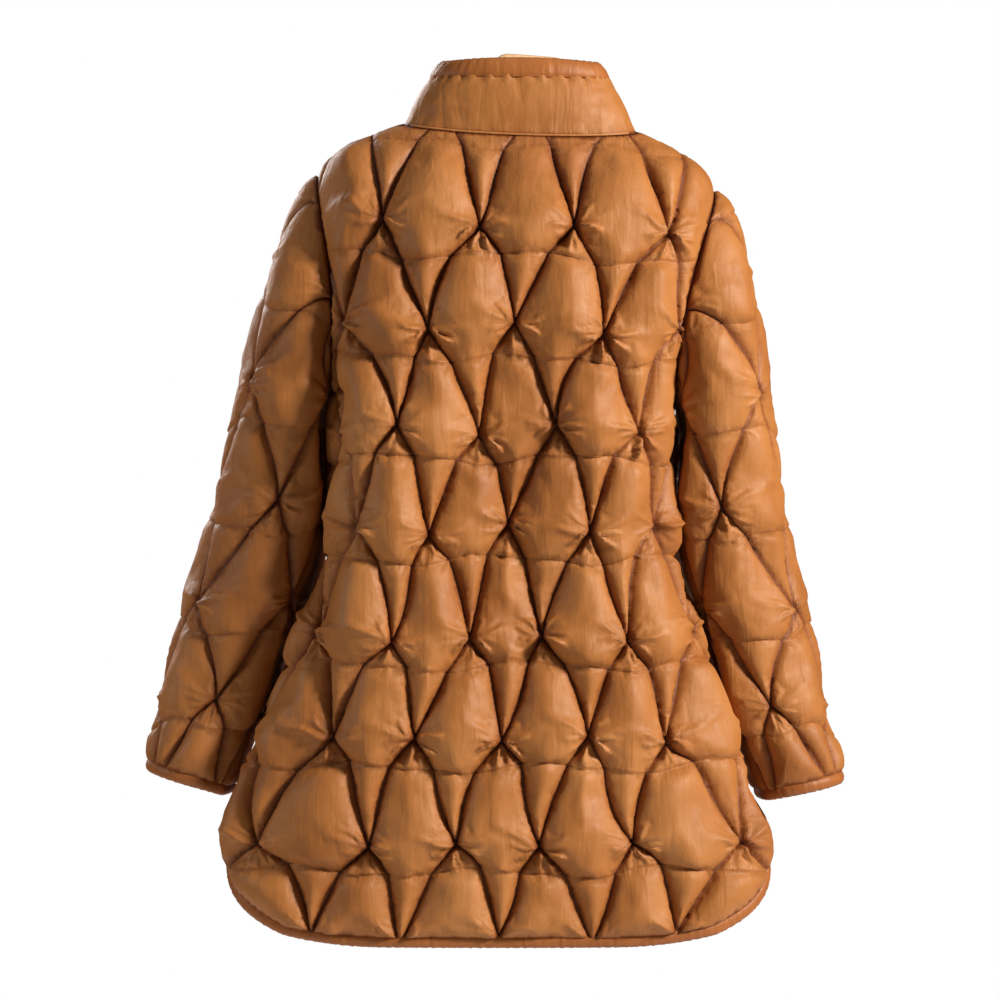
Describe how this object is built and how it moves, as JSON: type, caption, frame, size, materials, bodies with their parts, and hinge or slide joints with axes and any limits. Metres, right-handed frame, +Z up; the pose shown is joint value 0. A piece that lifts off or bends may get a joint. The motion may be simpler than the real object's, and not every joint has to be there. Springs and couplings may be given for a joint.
{
  "type": "quilted down coat on wooden hanger",
  "caption": "Hip-length down coat with a stand collar, diamond quilting, slit curved hem and bound edges, hung filled out on a plain wooden hanger.",
  "frame": {"origin": "top of the hanger's neck, where its hook screws in and the coat hangs from", "axes": "+Z up, +X to the wearer's right, +Y to the wearer's front; the back of the coat faces -Y"},
  "size_m": [0.6723, 0.2291, 0.8419],
  "materials": {
    "shell": "satin caramel nylon, down filled",
    "binding": "satin caramel nylon, folded",
    "stud": "dark bronze lacquer",
    "wood": "clear satin lacquer on pale beech"
  },
  "bodies": {
    "root": {"back": "shell", "front_left": "shell", "front_right": "shell", "sleeve_left": "shell", "sleeve_right": "shell", "collar": "shell", "binding_back": "binding", "binding_front_left": "binding", "binding_front_right": "binding", "binding_cuff_left": "binding", "binding_cuff_right": "binding", "binding_collar": "binding", "stud_1": "stud", "stud_2": "stud", "stud_3": "stud", "stud_4": "stud", "stud_5": "stud", "stud_6": "stud", "hanger": "wood"}
  },
  "joints": []
}
